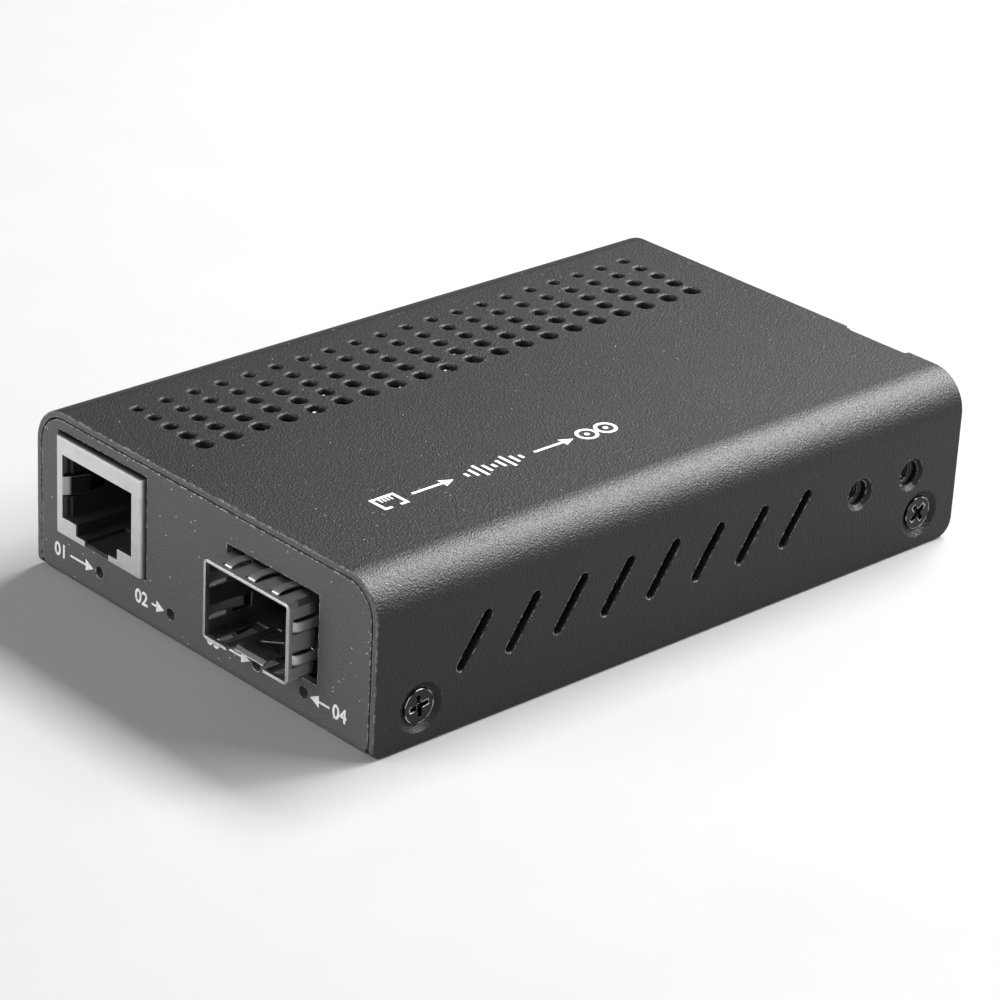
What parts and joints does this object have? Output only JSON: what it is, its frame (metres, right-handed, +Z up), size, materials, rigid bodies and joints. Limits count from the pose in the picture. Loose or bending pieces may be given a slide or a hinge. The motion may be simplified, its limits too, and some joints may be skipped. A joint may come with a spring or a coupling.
{
  "type": "fibre media converter",
  "caption": "Small black steel fibre media converter: copper network socket and sprung module cage in the front panel, vented cover, angled side slots, power inlet at the back.",
  "frame": {"origin": "centre of the enclosure's flat underside, leaving the proud sockets out", "axes": "+X to the right as the front panel is faced, +Y from the front panel to the rear, +Z up"},
  "size_m": [0.061, 0.0979, 0.0214],
  "materials": {
    "cover_paint": "fine textured black powder coat",
    "tray_paint": "satin black powder coat",
    "plated_steel": "bright nickel plating, satin",
    "stainless_steel": "thin rolled steel, satin",
    "screw_steel": "black zinc, worn bright on the edges",
    "board_laminate": "green solder mask, satin",
    "black_plastic": "moulded, matte",
    "gold_contact": "gold flash, bright",
    "brass_post": "turned, satin",
    "lamp_resin": "clear moulded resin",
    "can_aluminium": "drawn, bright",
    "ceramic": "fired ceramic, satin"
  },
  "bodies": {
    "root": {"base_tray": "tray_paint", "board_screws": "plated_steel", "can_capacitor_1": "can_aluminium", "can_capacitor_2": "can_aluminium", "can_capacitor_3": "can_aluminium", "ceramic_capacitors": "ceramic", "chip_resistors": "black_plastic", "circuit_board": "board_laminate", "converter_chip": "black_plastic", "cover_screws": "screw_steel", "crystal_can": "can_aluminium", "dc_jack_body": "black_plastic", "dc_jack_pin": "plated_steel", "dc_jack_spring": "plated_steel", "input_fuse": "ceramic", "line_transformer": "black_plastic", "memory_chip": "black_plastic", "power_inductor": "black_plastic", "protection_diode": "black_plastic", "regulator_chip": "black_plastic", "rj45_contacts": "gold_contact", "rj45_housing": "black_plastic", "rj45_shield": "plated_steel", "sfp_cage": "stainless_steel", "sfp_collar": "stainless_steel", "sfp_connector": "black_plastic", "sfp_contacts": "gold_contact", "sfp_eject_springs": "stainless_steel", "standoffs": "brass_post", "status_light_1": "lamp_resin", "status_light_2": "lamp_resin", "status_light_3": "lamp_resin", "status_light_4": "lamp_resin", "top_cover": "cover_paint"}
  },
  "joints": []
}
